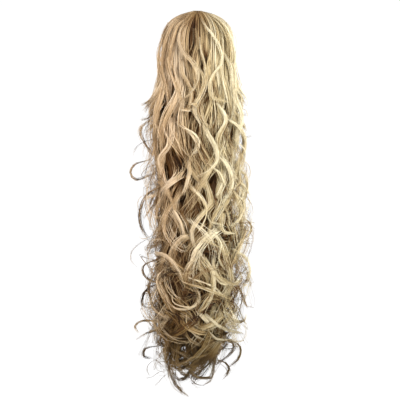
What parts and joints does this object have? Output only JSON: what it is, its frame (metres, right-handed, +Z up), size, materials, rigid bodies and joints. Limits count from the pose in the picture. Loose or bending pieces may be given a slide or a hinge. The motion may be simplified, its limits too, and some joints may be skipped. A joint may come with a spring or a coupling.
{
  "type": "clip-on ponytail hairpiece",
  "caption": "Very long curled clip-on ponytail in mixed blonde, with a smooth parted top layer over a hidden claw clip and loose curls down to uneven tips.",
  "frame": {"origin": "middle of the space that the claw clip's jaws close on, where the wearer's gathered hair sits", "axes": "+Z up, along the hair towards the parting; +Y towards the wearer's head, the way the gathered hair enters the jaws; +X to the right as seen from behind the wearer"},
  "size_m": [0.2016, 0.1212, 0.6765],
  "materials": {
    "clip_plastic": "dark brown moulded plastic, smooth",
    "root_hair": "sewn hair fibre, darker at the roots",
    "tan_hair": "tan blonde hair fibre with a soft sheen",
    "pale_hair": "pale blonde hair fibre with a soft sheen",
    "mixed_hair": "mixed blonde and brown curled hair fibre with a soft sheen"
  },
  "bodies": {
    "root": {"claw_clip": "clip_plastic", "weft_bundle": "root_hair", "crown_left": "tan_hair", "crown_right": "pale_hair", "long_fall": "mixed_hair"}
  },
  "joints": []
}
